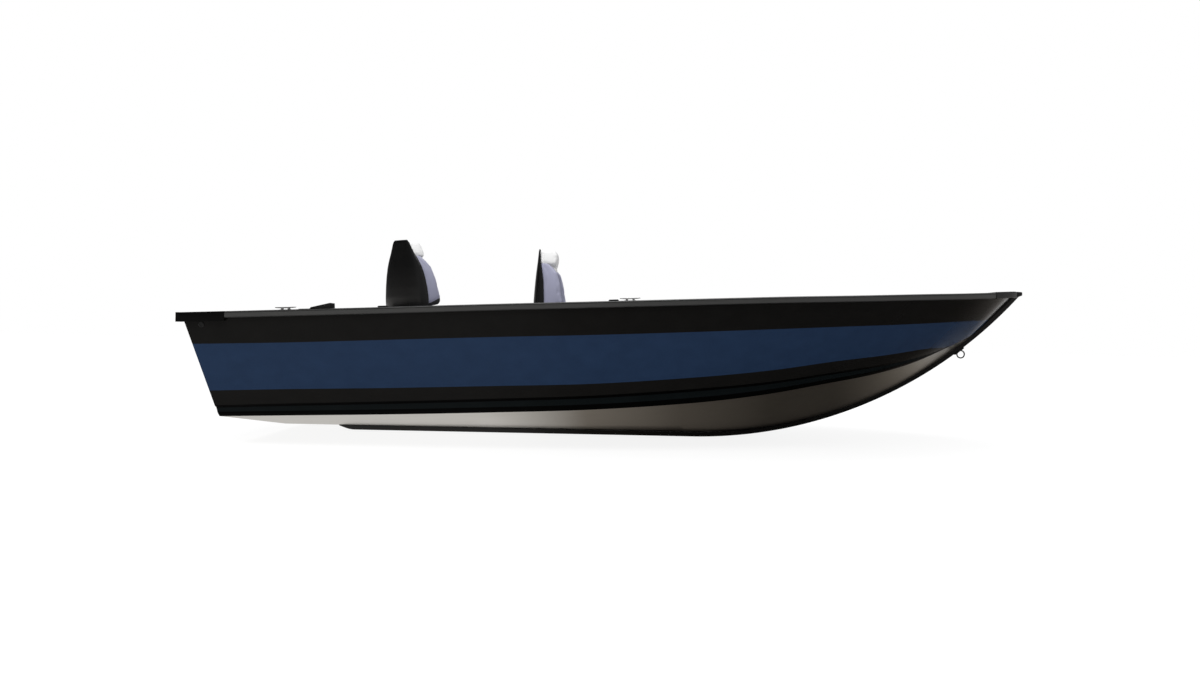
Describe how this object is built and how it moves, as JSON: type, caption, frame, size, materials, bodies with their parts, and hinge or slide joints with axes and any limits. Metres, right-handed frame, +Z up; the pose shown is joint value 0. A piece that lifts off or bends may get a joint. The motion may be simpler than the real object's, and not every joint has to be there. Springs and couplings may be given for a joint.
{
  "type": "aluminum fishing boat",
  "caption": "Open aluminum fishing boat with raised fore and aft decks, lift-up storage lids, a side rod locker, and swivel fishing seats whose backs fold down.",
  "frame": {"origin": "on the centreline amidships, at the waterline", "axes": "+X forward to the bow, +Y to port, +Z up"},
  "size_m": [5.4616, 2.3614, 1.316],
  "materials": {
    "hull_paint": "gloss black with a dark blue band",
    "bare_aluminium": "bare, lightly brushed",
    "black_trim": "satin black",
    "rail_gray": "dark gray anodised",
    "deck_vinyl": "woven deck covering",
    "liner_gray": "satin gray",
    "tub_plastic": "moulded",
    "seat_shell": "moulded black",
    "seat_vinyl": "sewn marine vinyl",
    "polished_metal": "polished"
  },
  "bodies": {
    "hull": {"hull_side_port": "hull_paint", "hull_side_starboard": "hull_paint", "hull_bottom": "bare_aluminium", "transom": "hull_paint", "keel_bar": "black_trim", "motor_pad": "black_trim", "gunwale_port": "rail_gray", "gunwale_starboard": "rail_gray", "corner_cap_port": "black_trim", "corner_cap_starboard": "black_trim", "bow_cap": "black_trim", "cockpit_floor": "deck_vinyl", "aft_bulkhead": "liner_gray", "bow_bulkhead": "liner_gray", "aft_deck": "deck_vinyl", "bow_deck": "deck_vinyl", "bow_storage_port_tub": "tub_plastic", "bow_storage_starboard_tub": "tub_plastic", "livewell_tub": "tub_plastic", "aft_storage_port_tub": "tub_plastic", "aft_storage_starboard_tub": "tub_plastic", "side_liner_port": "liner_gray", "side_liner_starboard": "liner_gray", "rod_locker": "liner_gray", "seat_front_pedestal": "polished_metal", "seat_rear_pedestal": "polished_metal", "control_pod": "black_trim", "cleat_stern_port": "polished_metal", "cleat_stern_starboard": "polished_metal", "cleat_mid_port": "polished_metal", "cleat_mid_starboard": "polished_metal", "rail_socket_aft": "black_trim", "rail_socket_mid": "black_trim", "side_outlet": "black_trim", "bow_eye": "polished_metal", "stern_eye_port": "polished_metal", "stern_eye_starboard": "polished_metal"},
    "bow_storage_port_lid": {"bow_storage_port_lid": "deck_vinyl"},
    "bow_storage_starboard_lid": {"bow_storage_starboard_lid": "deck_vinyl"},
    "livewell_lid": {"livewell_lid": "deck_vinyl"},
    "aft_storage_port_lid": {"aft_storage_port_lid": "deck_vinyl"},
    "aft_storage_starboard_lid": {"aft_storage_starboard_lid": "deck_vinyl"},
    "rod_locker_lid": {"rod_locker_lid": "deck_vinyl"},
    "seat_front": {"seat_front_swivel": "black_trim", "seat_front_pan": "seat_shell", "seat_front_cushion": "seat_vinyl"},
    "seat_front_back": {"seat_front_back_shell": "seat_shell", "seat_front_back_cushion": "seat_vinyl"},
    "seat_rear": {"seat_rear_swivel": "black_trim", "seat_rear_pan": "seat_shell", "seat_rear_cushion": "seat_vinyl"},
    "seat_rear_back": {"seat_rear_back_shell": "seat_shell", "seat_rear_back_cushion": "seat_vinyl"}
  },
  "joints": [
    {"name": "bow_storage_port_lid_hinge", "type": "hinge", "parent": "hull", "child": "bow_storage_port_lid", "pos_m": [1.215, 0.275, 0.41], "axis": [0, 1, 0], "range_deg": [0, 100]},
    {"name": "bow_storage_starboard_lid_hinge", "type": "hinge", "parent": "hull", "child": "bow_storage_starboard_lid", "pos_m": [1.215, -0.275, 0.41], "axis": [0, 1, 0], "range_deg": [0, 100]},
    {"name": "livewell_lid_hinge", "type": "hinge", "parent": "hull", "child": "livewell_lid", "pos_m": [-2.455, 0, 0.33], "axis": [0, -1, 0], "range_deg": [0, 100]},
    {"name": "aft_storage_port_lid_hinge", "type": "hinge", "parent": "hull", "child": "aft_storage_port_lid", "pos_m": [-2.455, 0.57, 0.33], "axis": [0, -1, 0], "range_deg": [0, 100]},
    {"name": "aft_storage_starboard_lid_hinge", "type": "hinge", "parent": "hull", "child": "aft_storage_starboard_lid", "pos_m": [-2.455, -0.57, 0.33], "axis": [0, -1, 0], "range_deg": [0, 100]},
    {"name": "rod_locker_lid_hinge", "type": "hinge", "parent": "hull", "child": "rod_locker_lid", "pos_m": [-0.87, 0.93, 0.37], "axis": [-1, 0, 0], "range_deg": [0, 95]},
    {"name": "seat_front_swivel_turn", "type": "hinge", "parent": "hull", "child": "seat_front", "pos_m": [-0.435, 0.03, 0.38], "axis": [0, 0, 1], "continuous": true},
    {"name": "seat_front_back_fold", "type": "hinge", "parent": "seat_front", "child": "seat_front_back", "pos_m": [-0.5848, 0.0379, 0.605], "axis": [0.0523, 0.9986, 0], "range_deg": [0, 90]},
    {"name": "seat_rear_swivel_turn", "type": "hinge", "parent": "hull", "child": "seat_rear", "pos_m": [-1.414, -0.234, 0.38], "axis": [0, 0, 1], "continuous": true},
    {"name": "seat_rear_back_fold", "type": "hinge", "parent": "seat_rear", "child": "seat_rear_back", "pos_m": [-1.4979, -0.3584, 0.605], "axis": [-0.829, 0.5592, 0], "range_deg": [0, 90]}
  ]
}
